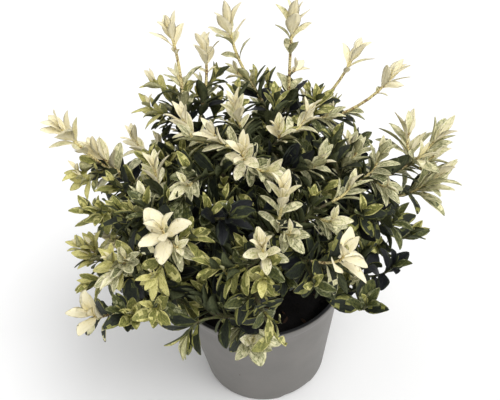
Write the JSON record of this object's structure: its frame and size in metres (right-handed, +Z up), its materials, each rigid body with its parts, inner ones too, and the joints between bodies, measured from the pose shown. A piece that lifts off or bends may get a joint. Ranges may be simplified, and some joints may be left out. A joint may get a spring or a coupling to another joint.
{
  "type": "potted japanese spindle shrub",
  "caption": "Bushy variegated evergreen shrub, cream young shoots over dark glossy leaves, in a round grey nursery pot that stands on its flat underside.",
  "frame": {"origin": "middle of the pot's flat underside, on the pot's axis", "axes": "+Z up along the pot's axis, -Y towards the pictured front of the plant, +X to its right"},
  "size_m": [0.418, 0.3646, 0.3994],
  "materials": {
    "pot": "satin moulded plastic",
    "compost": "dark crumbly peat and bark",
    "bark": "thin ridged grey-brown bark",
    "foliage": "leathery leaves, half glossy",
    "pale_foliage": "cream and speckled young leaves"
  },
  "bodies": {
    "root": {"pot": "pot", "compost": "compost", "trunk": "bark", "bough_skirt_1": "bark", "bough_skirt_2": "bark", "bough_skirt_3": "bark", "bough_skirt_4": "bark", "bough_skirt_5": "bark", "bough_skirt_6": "bark", "bough_shoulder_1": "bark", "bough_shoulder_2": "bark", "bough_shoulder_3": "bark", "bough_shoulder_4": "bark", "bough_shoulder_5": "bark", "bough_top_1": "bark", "mass_skirt_1": "foliage", "mass_skirt_2": "foliage", "mass_skirt_3": "foliage", "mass_skirt_4": "foliage", "mass_skirt_5": "foliage", "mass_skirt_6": "foliage", "mass_shoulder_1": "pale_foliage", "mass_shoulder_2": "pale_foliage", "mass_shoulder_3": "pale_foliage", "mass_shoulder_4": "pale_foliage", "mass_shoulder_5": "pale_foliage", "mass_top_1": "pale_foliage"}
  },
  "joints": []
}
